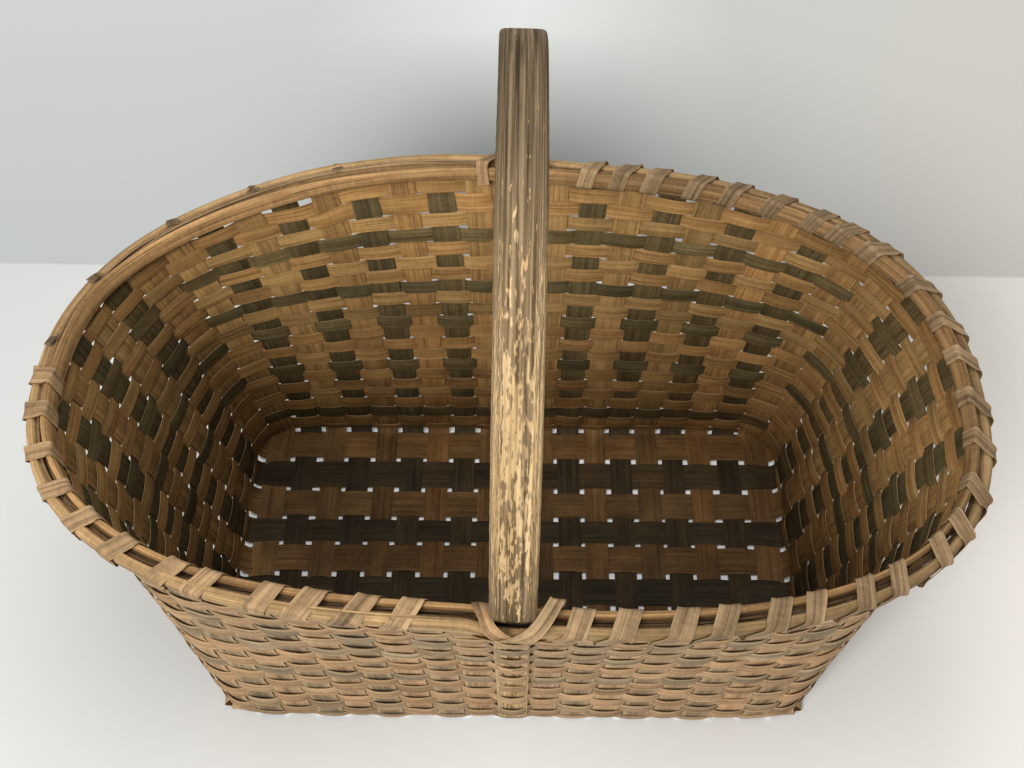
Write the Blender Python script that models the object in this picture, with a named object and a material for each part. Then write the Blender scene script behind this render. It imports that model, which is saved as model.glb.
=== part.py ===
"""Split oak gathering basket: interlaced floor, turned-up splints, hooped weavers, lashed rim, bail."""

import bpy
import bmesh
import math
from mathutils import Vector

# Driving dimensions, in metres

# Overall shape, with the rim measured at the uprights, and its height at the handle. The long
# way is X, the front is at -Y.
RIM_LENGTH = 0.567
RIM_WIDTH = 0.3615
RIM_HEIGHT = 0.2143
RIM_EXPONENT = 2.5
HANDLE_TOP = 0.4200
HANDLE_EXPONENT = 1.8
HANDLE_LEAN = 0.0035

# Hand-made unevenness of the rim: how far the ends sag below the handle's feet, how much higher
# the left end is and lower the right one, the rise of two corners and fall of the other two,
# and how far it leans over the front
RIM_SAG = 0.0133
RIM_TILT = 0.0107
RIM_WARP = 0.0086
RIM_FORWARD = 0.0053

# Foot of the wall, where the splints turn up
FOOT_LENGTH = 0.392
FOOT_WIDTH = 0.246
FOOT_EXPONENT = 13.0
FOOT_RISE = 0.003

# Floor grid: short splints run front to back, long ones left to right. A margin is the
# distance from the middle of the last splint to the foot's edge.
SHORT_SPLINTS = 19
LONG_SPLINTS = 9
SHORT_MARGIN = 0.0196
LONG_MARGIN = 0.0182
SHORT_PITCH = (FOOT_LENGTH - 2.0 * SHORT_MARGIN) / (SHORT_SPLINTS - 1)
LONG_PITCH = (FOOT_WIDTH - 2.0 * LONG_MARGIN) / (LONG_SPLINTS - 1)
SHORT_WIDTH = 0.0125
LONG_WIDTH = 0.0165
SPLINT_THICKNESS = 0.0008

# Wall weavers: one narrow starter hoop, then full hoops
WEAVER_ROWS = 21
STARTER_HEIGHT = 0.0045
WEAVER_THICKNESS = 0.0006
ROW_GAP = 0.0005
DARK_ROWS = (2, 7, 11, 14, 18)

# Share of the flare from foot to rim that is reached at each of a few even steps up the wall
SIDE_FLARE_SHARES = (0.0, 0.18, 0.46, 1.0)
END_FLARE_SHARES = (0.0, 0.32, 0.58, 1.0)

# Rim hoops, filler strands and lashing
INNER_HOOP_THICKNESS = 0.0048
OUTER_HOOP_THICKNESS = 0.0056
HOOP_HEIGHT = 0.0130
HOOP_GROOVE_DEPTH = 0.0045
HOOP_GROOVE_WIDTH = 0.0018
HOOP_ROUNDING = 0.0022
LASHING_WIDTH = 0.0090
LASHING_THICKNESS = 0.0007
CROSS_LASHING_WIDTH = 0.0070
WRAP_START_SHARE = 0.5
WRAP_STEP_SHARES = (0.0, 0.28, 0.62, 1.0)
CROSS_FOOT_SHARE = 0.5
CROSS_HEAD_SHARE = 0.74
CROSS_LIFT = 0.0006
LOST_WRAPS = 12
UPRIGHT_END_DROP = 0.0055

# Carved handle
HANDLE_WIDTH = 0.0255
HANDLE_THICKNESS = 0.0130
HANDLE_CHAMFER = 0.0034
TAIL_TOP_WIDTH = 0.0220
TAIL_TOP_THICKNESS = 0.0036
TAIL_END_WIDTH = 0.0145
TAIL_END_THICKNESS = 0.0018
TAIL_END_HEIGHT = 0.0090
SHOULDER_SEAT = 0.0016
CUT_SHARE = 0.45

# Clearance between pieces that touch, and between a weaver and the uprights it bends round
GAP = 0.0003
WEAVE_GAP = 0.0006

# Counts that set how finely curves are drawn
RIM_SAMPLES = 2880
HANDLE_STEPS = 20
OFFSET_SWEEPS = 40
SMOOTH_ANGLE = math.radians(32.0)

# Materials: colour, roughness
LIGHT_OAK = ("light_oak", (0.42, 0.25, 0.12, 1.0), 0.62)
DARK_OAK = ("dark_oak", (0.075, 0.062, 0.038, 1.0), 0.66)
RIM_OAK = ("rim_oak", (0.50, 0.34, 0.17, 1.0), 0.58)
LASHING_OAK = ("lashing_oak", (0.40, 0.28, 0.15, 1.0), 0.60)
HANDLE_OAK = ("handle_oak", (0.36, 0.26, 0.15, 1.0), 0.52)

UPRIGHTS = 2 * (SHORT_SPLINTS + LONG_SPLINTS)
FRONT_HANDLE_UPRIGHT = 0
BACK_HANDLE_UPRIGHT = UPRIGHTS // 2
UP = Vector((0.0, 0.0, 1.0))


def remove_everything():
    for item in list(bpy.data.objects):
        bpy.data.objects.remove(item, do_unlink=True)


def make_material(name, colour, roughness):
    material = bpy.data.materials.get(name)
    if material:
        return material
    material = bpy.data.materials.new(name)
    material.use_nodes = True
    shader = material.node_tree.nodes["Principled BSDF"]
    shader.inputs["Base Color"].default_value = colour
    shader.inputs["Roughness"].default_value = roughness
    shader.inputs["Metallic"].default_value = 0.0
    return material


# Wall surface

def superellipse_edge(across, half_across, half_other, exponent):
    """Distance out to the edge of a superellipse, at a given place across it."""
    share = min(1.0, abs(across) / half_across)
    return half_other * (1.0 - share ** exponent) ** (1.0 / exponent)


def signed_power(value, power):
    return math.copysign(abs(value) ** power, value)


def rim_curve_point(turn):
    """Point of the rim's centre line; turn runs from 0 at the front middle to 1."""
    angle = 2.0 * math.pi * turn - math.pi / 2.0
    power = 2.0 / RIM_EXPONENT
    x = RIM_LENGTH / 2.0 * signed_power(math.cos(angle), power)
    y = RIM_WIDTH / 2.0 * signed_power(math.sin(angle), power)
    return Vector((x, y - RIM_FORWARD))


def even_rim_points(count):
    """Points spaced evenly round the rim, anticlockwise from the front middle."""
    curve = [rim_curve_point(step / RIM_SAMPLES) for step in range(RIM_SAMPLES + 1)]
    lengths = [0.0]
    for start, end in zip(curve, curve[1:]):
        lengths.append(lengths[-1] + (end - start).length)
    points = []
    sample = 0
    for index in range(count):
        target = lengths[-1] * index / count
        while lengths[sample + 1] < target:
            sample += 1
        span = lengths[sample + 1] - lengths[sample]
        share = (target - lengths[sample]) / span
        points.append(curve[sample].lerp(curve[sample + 1], share))
    return points


def short_splint_x(number):
    return (number - (SHORT_SPLINTS + 1) / 2.0) * SHORT_PITCH


def long_splint_y(number):
    return (number - (LONG_SPLINTS + 1) / 2.0) * LONG_PITCH


def foot_point(across_x, across_y, side):
    """Foot of an upright: side is (0, -1) front, (1, 0) right, (0, 1) back, (-1, 0) left."""
    if side[0] == 0:
        edge = superellipse_edge(across_x, FOOT_LENGTH / 2.0, FOOT_WIDTH / 2.0, FOOT_EXPONENT)
        return Vector((across_x, side[1] * edge))
    edge = superellipse_edge(across_y, FOOT_WIDTH / 2.0, FOOT_LENGTH / 2.0, FOOT_EXPONENT)
    return Vector((side[0] * edge, across_y))


def upright_feet():
    """Feet of all uprights, in the same order as the rim points, and each one's width."""
    half = (SHORT_SPLINTS + 1) // 2
    shorts = list(range(1, SHORT_SPLINTS + 1))
    longs = list(range(1, LONG_SPLINTS + 1))
    feet = [(foot_point(short_splint_x(n), 0.0, (0, -1)), SHORT_WIDTH) for n in shorts[half - 1:]]
    feet += [(foot_point(0.0, long_splint_y(n), (1, 0)), LONG_WIDTH) for n in longs]
    feet += [(foot_point(short_splint_x(n), 0.0, (0, 1)), SHORT_WIDTH) for n in reversed(shorts)]
    feet += [(foot_point(0.0, long_splint_y(n), (-1, 0)), LONG_WIDTH) for n in reversed(longs)]
    feet += [(foot_point(short_splint_x(n), 0.0, (0, -1)), SHORT_WIDTH) for n in shorts[:half - 1]]
    return feet


def short_upright_index(number, front):
    step = number - (SHORT_SPLINTS + 1) // 2
    if front:
        return step % UPRIGHTS
    return (BACK_HANDLE_UPRIGHT - step) % UPRIGHTS


def long_upright_index(number, right):
    corner = (SHORT_SPLINTS - 1) // 2
    if right:
        return corner + number
    return UPRIGHTS - corner - number


class Wall:
    """The basket's wall surface: a point, a direction across and one outward at each station."""

    def __init__(self):
        self.rim = even_rim_points(UPRIGHTS)
        feet = upright_feet()
        self.feet = [foot for foot, width in feet]
        self.widths = [width for foot, width in feet]
        self.height = RIM_HEIGHT - FOOT_RISE
        starter_share = STARTER_HEIGHT / self.height
        rim_zone = HOOP_HEIGHT + LASHING_THICKNESS + 2.0 * GAP
        row_share = (1.0 - rim_zone / self.height - starter_share) / WEAVER_ROWS
        self.row_edges = [0.0]
        self.row_edges += [starter_share + row_share * row for row in range(WEAVER_ROWS + 1)]
        parts = len(SIDE_FLARE_SHARES) - 1
        rows = [1 + WEAVER_ROWS * part // parts for part in range(1, parts)]
        self.stations = [0.0] + [self.row_edges[row] for row in rows] + [1.0]
        places = range(len(self.stations))
        self.points = [[self.station_point(i, place) for place in places] for i in range(UPRIGHTS)]
        self.frames = [[self.station_frame(i, place) for place in places] for i in range(UPRIGHTS)]

    def station_point(self, index, place):
        end_weight = (abs(self.rim[index].x) / (RIM_LENGTH / 2.0)) ** 4
        side, end = SIDE_FLARE_SHARES[place], END_FLARE_SHARES[place]
        plan = self.feet[index].lerp(self.rim[index], side + (end - side) * end_weight)
        return Vector((plan.x, plan.y, FOOT_RISE + self.height * self.stations[place]))

    def station_frame(self, index, place):
        here = self.points[index][place]
        ahead = (self.points[(index + 1) % UPRIGHTS][place] - here).normalized()
        behind = (here - self.points[index - 1][place]).normalized()
        across = (ahead + behind).normalized()
        low = max(0, place - 1)
        high = min(len(self.stations) - 1, place + 1)
        slope = (self.points[index][high] - self.points[index][low]).normalized()
        return here, across, across.cross(slope).normalized()

    def frame(self, index, up_share):
        """Point, across and outward, read in straight lines between the stations."""
        index = index % UPRIGHTS
        part = len(self.stations) - 2
        while part > 0 and up_share < self.stations[part]:
            part -= 1
        low, high = self.stations[part], self.stations[part + 1]
        share = (up_share - low) / (high - low)
        pair = zip(self.frames[index][part], self.frames[index][part + 1])
        return [start.lerp(end, share) for start, end in pair]

    def point(self, index, up_share):
        return self.frame(index, up_share)[0]

    def chord(self, index, step, up_share):
        """Vector from one upright to the next one ahead or behind, at the same height."""
        return self.point(index + step, up_share) - self.point(index, up_share)

    def edge_bows(self, index, up_share, width):
        """How far an upright's two edges stand outside the straight lines to its neighbours."""
        point, across, out = self.frame(index, up_share)
        bows = []
        for step in (-1, 1):
            chord = self.chord(index, step, up_share)
            bows.append(-chord.dot(out) / abs(chord.dot(across)) * width / 2.0)
        return bows


WALL = Wall()


def uneven(point):
    """The point with the rim's sag, tilt and warp, moved back until the rim is centred."""
    share = min(1.0, max(0.0, (point.z - FOOT_RISE) / (RIM_HEIGHT - FOOT_RISE)))
    along = point.x / (RIM_LENGTH / 2.0)
    through = point.y / (RIM_WIDTH / 2.0)
    lift = RIM_WARP * along * through - RIM_TILT * along - RIM_SAG * along ** 2
    return point + Vector((0.0, RIM_FORWARD, lift * share))


# Mesh building

def add_object(name, sections, closed, finish):
    """A solid lofted through equal-sized closed sections, capped unless it closes on itself."""
    mesh_data = bmesh.new()
    rings = [[mesh_data.verts.new(uneven(corner)) for corner in section] for section in sections]
    pairs = list(zip(rings, rings[1:]))
    if closed:
        pairs.append((rings[-1], rings[0]))
    for ring, following in pairs:
        for corner in range(len(ring)):
            beside = (corner + 1) % len(ring)
            mesh_data.faces.new((ring[corner], ring[beside], following[beside], following[corner]))
    if not closed:
        mesh_data.faces.new(list(reversed(rings[0])))
        mesh_data.faces.new(rings[-1])
    bmesh.ops.triangulate(mesh_data, faces=mesh_data.faces)
    bmesh.ops.recalc_face_normals(mesh_data, faces=mesh_data.faces)
    if mesh_data.calc_volume(signed=True) < 0.0:
        bmesh.ops.reverse_faces(mesh_data, faces=mesh_data.faces)
    mesh = bpy.data.meshes.new(name)
    mesh_data.to_mesh(mesh)
    mesh_data.free()
    mesh.shade_smooth()
    mesh.set_sharp_from_angle(angle=SMOOTH_ANGLE)
    mesh.materials.append(make_material(*finish))
    item = bpy.data.objects.new(name, mesh)
    bpy.context.scene.collection.objects.link(item)
    return item


def strip_section(centre, across, through, width, thickness):
    """Corners of a flat strip's rectangular section."""
    side = across * (width / 2.0)
    face = through * (thickness / 2.0)
    return [centre - side - face, centre + side - face, centre + side + face, centre - side + face]


# Floor and uprights

def upright_sections(index, width, top_share):
    """Sections of one upright, from its foot to its end inside the rim."""
    sections = []
    for share in WALL.stations[:-1] + [top_share]:
        point, across, through = WALL.frame(index, share)
        if share == 0.0:
            through = (through - UP).normalized()
        sections.append(strip_section(point, across, through, width, SPLINT_THICKNESS))
    return sections


def turned(sections):
    """The same sections seen from behind, for the half of a splint that runs the other way."""
    return [[section[1], section[0], section[3], section[2]] for section in sections]


def upright_top_share():
    return 1.0 - UPRIGHT_END_DROP / WALL.height


def floor_level():
    """Height of the short splints' middle: one long splint and a gap lie below them."""
    return SPLINT_THICKNESS * 1.5 + GAP


def make_short_splint(number):
    """A splint that lies flat across the floor and turns up front and back."""
    x = short_splint_x(number)
    front = short_upright_index(number, True)
    back = short_upright_index(number, False)
    edge = (LONG_SPLINTS - 1) / 2.0 * LONG_PITCH + LONG_WIDTH / 2.0 + GAP
    level = floor_level()
    across = Vector((1.0, 0.0, 0.0))
    floor = [strip_section(Vector((x, side * edge, level)), across, UP * -1.0,
                           SHORT_WIDTH, SPLINT_THICKNESS) for side in (-1.0, 1.0)]
    top = upright_top_share()
    front_part = list(reversed(upright_sections(front, SHORT_WIDTH, top)))
    back_part = turned(upright_sections(back, SHORT_WIDTH, top))
    finish = DARK_OAK if number % 2 == 0 else LIGHT_OAK
    name = "short_splint_%02d" % number
    return add_object(name, front_part + floor + back_part, False, finish)


def make_long_splint(number):
    """A splint woven over and under the short ones, turned up at both ends of the basket."""
    y = long_splint_y(number)
    left = long_upright_index(number, False)
    right = long_upright_index(number, True)
    across = Vector((0.0, 1.0, 0.0))
    shift = SPLINT_THICKNESS + GAP
    flat = SHORT_WIDTH / 2.0
    floor = []
    for short in range(1, SHORT_SPLINTS + 1):
        over = (short + number) % 2 == 1
        level = floor_level() + (shift if over else -shift)
        for side in (-1.0, 1.0):
            centre = Vector((short_splint_x(short) + side * flat, y, level))
            floor.append(strip_section(centre, across, UP * -1.0, LONG_WIDTH, SPLINT_THICKNESS))
    top = upright_top_share()
    left_part = turned(reversed(upright_sections(left, LONG_WIDTH, top)))
    right_part = upright_sections(right, LONG_WIDTH, top)
    finish = DARK_OAK if number % 2 == 0 else LIGHT_OAK
    return add_object("long_splint_%d" % number, left_part + floor + right_part, False, finish)


# Weavers

def wall_height_at(up_share):
    return FOOT_RISE + WALL.height * up_share


def handle_tail_size(up_share):
    """Width and thickness of the handle's tail where it lies on the wall."""
    share = (wall_height_at(up_share) - TAIL_END_HEIGHT) / (RIM_HEIGHT - TAIL_END_HEIGHT)
    share = min(1.0, max(0.0, share))
    width = TAIL_END_WIDTH + (TAIL_TOP_WIDTH - TAIL_END_WIDTH) * share ** 2
    thickness = TAIL_END_THICKNESS + (TAIL_TOP_THICKNESS - TAIL_END_THICKNESS) * share
    return width, thickness


def carries_tail(index, up_share):
    if index not in (FRONT_HANDLE_UPRIGHT, BACK_HANDLE_UPRIGHT):
        return False
    return wall_height_at(up_share) > TAIL_END_HEIGHT - GAP


def weaver_offsets(row, up_share, up_top):
    """How far the weaver's middle stands off each upright's, so that it clears both edges.

    Outside an upright the offset is positive. A weaver runs straight from one upright to the
    next, so what it needs at one upright depends on its neighbours, and is found by sweeps.
    """
    base = SPLINT_THICKNESS / 2.0 + WEAVER_THICKNESS / 2.0 + WEAVE_GAP
    needs = []
    for index in range(UPRIGHTS):
        inside = runs_inside(index, row)
        width, clear = WALL.widths[index], base
        if carries_tail(index, up_top) and not inside:
            width, thickness = handle_tail_size(up_top)
            clear = base + thickness + GAP
        bows = WALL.edge_bows(index, up_share, width)
        reach = min(WALL.chord(index, step, up_share).length for step in (-1, 1))
        bow = -min(bows) if inside else max(bows)
        needs.append((clear + bow, width / 2.0 / reach))
    sizes = [base] * UPRIGHTS
    for sweep in range(OFFSET_SWEEPS):
        nearby = [max(sizes[index - 1], sizes[(index + 1) % UPRIGHTS]) for index in range(UPRIGHTS)]
        sizes = [max(base, (need + share * beside) / (1.0 - share))
                 for (need, share), beside in zip(needs, nearby)]
    return [-size if runs_inside(index, row) else size for index, size in enumerate(sizes)]


def runs_inside(index, row):
    return (index + row) % 2 == 1


def make_weaver(row):
    """A closed hoop, over one upright and under the next; its outer face is crowned."""
    half_gap = ROW_GAP / 2.0 / WALL.height
    low = WALL.row_edges[row] + half_gap
    high = WALL.row_edges[row + 1] - half_gap
    middle = (low + high) / 2.0
    sections = []
    for index, offset in enumerate(weaver_offsets(row, middle, high)):
        point, across, out = WALL.frame(index, middle)
        back = out * (offset - WEAVER_THICKNESS / 2.0)
        crown = out * (offset + WEAVER_THICKNESS / 2.0)
        bottom = WALL.point(index, low) + back
        sections.append([bottom, point + crown, WALL.point(index, high) + back])
    finish = DARK_OAK if row in DARK_ROWS else LIGHT_OAK
    name = "starter_weaver" if row == 0 else "weaver_%02d" % row
    return add_object(name, sections, True, finish)


# Rim

def rim_slope(index):
    points = WALL.points[index % UPRIGHTS]
    return (points[-1] - points[-2]).normalized()


def rim_point(index, away, rise):
    """A point at an upright, so far out of the wall and so far up from the rim's top edge."""
    point, across, out = WALL.frame(index, 1.0)
    return point + out * away + rim_slope(index) * rise


def inner_hoop_face():
    return SPLINT_THICKNESS / 2.0 + GAP


def outer_hoop_face(index):
    """Offset of the outer hoop's inner face from the uprights' middle."""
    index = index % UPRIGHTS
    plain = inner_hoop_face() + max(WALL.edge_bows(index, 1.0, WALL.widths[index]))
    if index not in (FRONT_HANDLE_UPRIGHT, BACK_HANDLE_UPRIGHT):
        return plain
    width, thickness = handle_tail_size(1.0)
    share = (width / 2.0 + GAP) / WALL.chord(index, 1, 1.0).length
    need = plain + thickness + 2.0 * GAP
    return (need - share * plain) / (1.0 - share)


def hoop_sections(outward):
    """Sections of a hoop: flat towards the uprights, grooved at the top, rounded outside."""
    sections = []
    for index in range(UPRIGHTS):
        face = outer_hoop_face(index) if outward else inner_hoop_face()
        thickness = OUTER_HOOP_THICKNESS if outward else INNER_HOOP_THICKNESS
        sign = 1.0 if outward else -1.0
        profile = [(face, -HOOP_HEIGHT), (face, -HOOP_GROOVE_DEPTH),
                   (face + HOOP_GROOVE_WIDTH, 0.0), (face + thickness - HOOP_ROUNDING, 0.0),
                   (face + thickness, -HOOP_ROUNDING), (face + thickness, -HOOP_HEIGHT)]
        sections.append([rim_point(index, sign * away, rise) for away, rise in profile])
    return sections


def make_filler(name, first, last):
    """A strand laid in the groove between the hoops, over the ends of the uprights."""
    half = inner_hoop_face() + HOOP_GROOVE_WIDTH - 2.0 * GAP
    profile = [(0.0, GAP - HOOP_GROOVE_DEPTH), (half, -GAP), (-half, -GAP)]
    sections = [[rim_point(index, away, rise) for away, rise in profile]
                for index in range(first, last + 1)]
    return add_object(name, sections, False, LASHING_OAK)


def wrap_corner(index, corner, layer):
    """One corner of a strip wrapped round both hoops at an upright, on its near or far face.

    Corners run from outer bottom over outer top and inner top to inner bottom.
    """
    add = GAP + LASHING_THICKNESS * layer
    outside = outer_hoop_face(index) + OUTER_HOOP_THICKNESS + add
    inside = -inner_hoop_face() - INNER_HOOP_THICKNESS - add
    away = outside if corner in (0, 1) else inside
    rise = add if corner in (1, 2) else -HOOP_HEIGHT - add
    return rim_point(index, away, rise)


def wrap_place(place, corner, layer):
    """The same corner between two uprights, and the direction along the rim there."""
    index = math.floor(place)
    share = place - index
    start = wrap_corner(index, corner, layer)
    end = wrap_corner(index + 1, corner, layer)
    along = (end - start).normalized()
    if share == 0.0:
        along = (end - wrap_corner(index - 1, corner, layer)).normalized()
    return start.lerp(end, share), along


def lashing_section(place, corner, width):
    """Crowned section of a lashing strip where it turns over one corner of the hoops."""
    near, along = wrap_place(place, corner, 0)
    far, along = wrap_place(place, corner, 1)
    side = along * (width / 2.0)
    return [near - side, near + side, far]


def crossing_section(place, width, lift):
    """Section of a cross lashing half way up the outer face of the outer hoop."""
    low = lashing_section(place, 0, width)
    high = lashing_section(place, 1, width)
    out = WALL.frame(place, 1.0)[2]
    near = [(start + end) / 2.0 + out * lift for start, end in zip(low[:2], high[:2])]
    return near + [(near[0] + near[1]) / 2.0 + out * LASHING_THICKNESS]


def make_lashing(name, first_gap, last_gap):
    """A flat splint that spirals round both hoops, once for each space between uprights."""
    sections = []
    for gap in range(first_gap, last_gap):
        for corner, step in enumerate(WRAP_STEP_SHARES):
            sections.append(lashing_section(gap + WRAP_START_SHARE + step, corner, LASHING_WIDTH))
    return add_object(name, sections, False, LASHING_OAK)


def make_cross_lashing(name, upright):
    """A splint tied in a cross over the outer hoop in front of the handle's foot."""
    width = CROSS_LASHING_WIDTH
    sections = []
    for side, lift in ((1.0, CROSS_LIFT), (-1.0, CROSS_LIFT + 2.0 * (LASHING_THICKNESS + GAP))):
        low = CROSS_FOOT_SHARE * side
        high = CROSS_HEAD_SHARE * side
        sections.append(lashing_section(upright - low, 0, width))
        sections.append(crossing_section(upright, width, lift))
        sections.append(lashing_section(upright + high, 1, width))
        sections.append(lashing_section(upright + high, 2, width))
        sections.append(lashing_section(upright + low, 3, width))
    return add_object(name, sections, True, LASHING_OAK)


# Handle

def rounded_section(centre, across, through, width, thickness, chamfer):
    """An eight-sided section: a rectangle with its corners cut."""
    cut = min(chamfer, thickness * CUT_SHARE)
    half_w, half_t = width / 2.0, thickness / 2.0
    outline = [(half_w, half_t - cut), (half_w - cut, half_t), (cut - half_w, half_t),
               (-half_w, half_t - cut), (-half_w, cut - half_t), (cut - half_w, -half_t),
               (half_w - cut, -half_t), (half_w, cut - half_t)]
    return [centre + across * a + through * b for a, b in outline]


def tail_sections(upright):
    """Sections of a tail, from its low end up to the shoulder on the hoops."""
    end_share = (TAIL_END_HEIGHT - FOOT_RISE) / WALL.height
    across = Vector((1.0, 0.0, 0.0))
    sections = []
    for share in [end_share] + [station for station in WALL.stations if station > end_share]:
        width, thickness = handle_tail_size(share)
        point, along, out = WALL.frame(upright, share)
        centre = point + out * (inner_hoop_face() + thickness / 2.0)
        sections.append(rounded_section(centre, across, out, width, thickness, HANDLE_CHAMFER))
    lift = rim_slope(upright) * SHOULDER_SEAT
    return sections[:-1] + [[corner + lift for corner in sections[-1]]]


def arch_sections():
    """Sections of the bail, from the front shoulder over to the back one."""
    half_span = RIM_WIDTH / 2.0 + inner_hoop_face() + TAIL_TOP_THICKNESS / 2.0
    foot_height = RIM_HEIGHT + SHOULDER_SEAT + GAP
    rise = HANDLE_TOP - HANDLE_THICKNESS / 2.0 - foot_height
    power = 2.0 / HANDLE_EXPONENT
    places = []
    for step in range(HANDLE_STEPS + 1):
        angle = math.pi * step / HANDLE_STEPS
        y = -half_span * signed_power(math.cos(angle), power)
        share = abs(math.sin(angle)) ** power
        places.append(Vector((HANDLE_LEAN * share, y - RIM_FORWARD, foot_height + rise * share)))
    across = Vector((1.0, 0.0, 0.0))
    sections = []
    for step, place in enumerate(places):
        before = places[max(0, step - 1)]
        after = places[min(HANDLE_STEPS, step + 1)]
        along = (after - before).normalized()
        if step in (0, HANDLE_STEPS):
            along = UP if step == 0 else -UP
        outward = across.cross(along) * -1.0
        section = rounded_section(place, across, outward, HANDLE_WIDTH, HANDLE_THICKNESS,
                                  HANDLE_CHAMFER)
        sections.append(section)
    return sections


def make_handle():
    front = tail_sections(FRONT_HANDLE_UPRIGHT)
    back = tail_sections(BACK_HANDLE_UPRIGHT)
    sections = front + arch_sections() + list(reversed(back))
    return add_object("bail_handle", sections, False, HANDLE_OAK)


def build():
    remove_everything()
    for number in range(1, SHORT_SPLINTS + 1):
        make_short_splint(number)
    for number in range(1, LONG_SPLINTS + 1):
        make_long_splint(number)
    for row in range(WEAVER_ROWS + 1):
        make_weaver(row)
    add_object("inner_rim", hoop_sections(False), True, RIM_OAK)
    add_object("outer_rim", hoop_sections(True), True, RIM_OAK)
    make_filler("rim_filler_right", FRONT_HANDLE_UPRIGHT + 1, BACK_HANDLE_UPRIGHT - 1)
    make_filler("rim_filler_left", BACK_HANDLE_UPRIGHT + 1, UPRIGHTS - 1)
    make_lashing("rim_lashing_right", 1, BACK_HANDLE_UPRIGHT - 2)
    make_lashing("rim_lashing_left", BACK_HANDLE_UPRIGHT + 1 + LOST_WRAPS, UPRIGHTS - 2)
    make_cross_lashing("front_cross_lashing", FRONT_HANDLE_UPRIGHT)
    make_cross_lashing("back_cross_lashing", BACK_HANDLE_UPRIGHT)
    make_handle()


build()
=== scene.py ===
"""Split oak gathering basket: worn splints, weavers, lashed rim and carved bail over the solid model."""

import math

import bpy
import numpy as np
from mathutils import Matrix


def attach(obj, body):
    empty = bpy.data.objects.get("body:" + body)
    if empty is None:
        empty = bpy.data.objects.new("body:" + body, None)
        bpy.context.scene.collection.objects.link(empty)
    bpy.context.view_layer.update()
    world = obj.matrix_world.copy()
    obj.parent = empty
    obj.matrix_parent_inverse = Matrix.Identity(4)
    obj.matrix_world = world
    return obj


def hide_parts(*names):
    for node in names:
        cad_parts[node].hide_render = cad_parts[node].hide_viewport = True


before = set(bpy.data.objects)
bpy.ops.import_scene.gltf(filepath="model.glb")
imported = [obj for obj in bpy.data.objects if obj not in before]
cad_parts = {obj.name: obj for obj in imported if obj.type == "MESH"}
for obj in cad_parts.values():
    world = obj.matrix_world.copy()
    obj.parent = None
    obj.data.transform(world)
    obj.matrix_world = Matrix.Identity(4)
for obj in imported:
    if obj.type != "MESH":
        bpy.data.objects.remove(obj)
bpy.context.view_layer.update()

# Sizes of the whole basket, in metres
RIM_LENGTH, RIM_WIDTH, RIM_HEIGHT, RIM_EXPONENT = 0.567, 0.3615, 0.2143, 2.5
RIM_SAG, RIM_TILT, RIM_WARP, RIM_FORWARD = 0.0133, 0.0107, 0.0086, 0.0053
SHORTS, LONGS, SHORT_PITCH, LONG_PITCH = 19, 9, 0.0196, 0.0262
FOOT_LENGTH, FOOT_WIDTH, FOOT_EXPONENT, FOOT_RISE = 0.387, 0.2455, 12.0, 0.003
ROWS, STARTER_HEIGHT, RIM_ZONE = 21, 0.0045, 0.0143
DARK_ROWS = (2, 7, 11, 14, 18)
SIDE_SHARES, END_SHARES = (0.0, 0.18, 0.46, 1.0), (0.0, 0.32, 0.58, 1.0)

# Splints and weavers: widths (a splint's in the floor and in the wall), thicknesses, how far they
# bow as they pass over and under, and how flat a weaver is pressed there
SHORT_WIDTHS, LONG_WIDTHS, SPLINT_THICKNESS = (0.0162, 0.0187), (0.0222, 0.0214), 0.0009
WEAVER_WIDTH, STARTER_WIDTH, WEAVER_THICKNESS = 0.0095, 0.0042, 0.0008
OUTWARD_BOW, INWARD_BOW, UPRIGHT_BOW, FLOOR_BOW, PRESS = 0.0018, 0.0015, 0.00045, 0.0006, 1.3

# The floor's height and place, how far before the foot's edge it ends, over what length splints come
# to their own place and width, and how far below the rim the uprights end
FLOOR_MIDDLE, FLOOR_FORWARD, FOLD_MARGIN = 0.0014, 0.0040, 0.003
SETTLE_REACH, WIDEN_REACH, UPRIGHT_END = 0.018, 0.016, 0.0095

# How far splints lie off their even places in the floor, by number, and how wide some are there
SHORT_SHIFTS = {1: -0.0022, 2: -0.0011, 18: 0.0016, 19: 0.0036}
LONG_SHIFTS = {4: 0.0015, 5: 0.0030, 6: 0.0007, 7: -0.0011, 9: 0.0028}
WIDE_SPLINTS = {"short_splint_01": 1.14, "short_splint_19": 1.14, "long_splint_6": 0.86,
                "long_splint_8": 1.07, "long_splint_9": 1.15}

# Rim: a hoop's thickness and the distance of its face from the middle of the wall, and the lashing
INNER_HOOP, INNER_FACE = 0.0044, 0.0018
OUTER_HOOP, OUTER_FACE, OUTER_HEIGHT = 0.0068, 0.0022, 0.0150
WRAP_WIDTH, CROSS_WIDTH, SCRAP_WIDTH, WRAP_THICKNESS, WRAP_CLEARANCE = 0.0120, 0.0078, 0.0080, 0.0006, 0.0004

# Handle: its foot stands on a shoulder above the rim, its tails lie on the outside of the wall
HANDLE_TOP, HANDLE_EXPONENT, HANDLE_LEAN, HANDLE_SHIFT = 0.4200, 1.8, 0.0035, 0.0010
HANDLE_FOOT_WIDTH, HANDLE_WIDTH, HANDLE_THICKNESS = 0.0252, 0.0264, 0.0135
SHOULDER, HANDLE_BULGE, NECK_WIDTH, NECK_THICKNESS = 0.0038, 0.0033, 0.0155, 0.006
TAIL_WIDTH, TAIL_SPREAD, TAIL_THICKNESS = 0.0185, 0.0045, 0.0018

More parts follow.
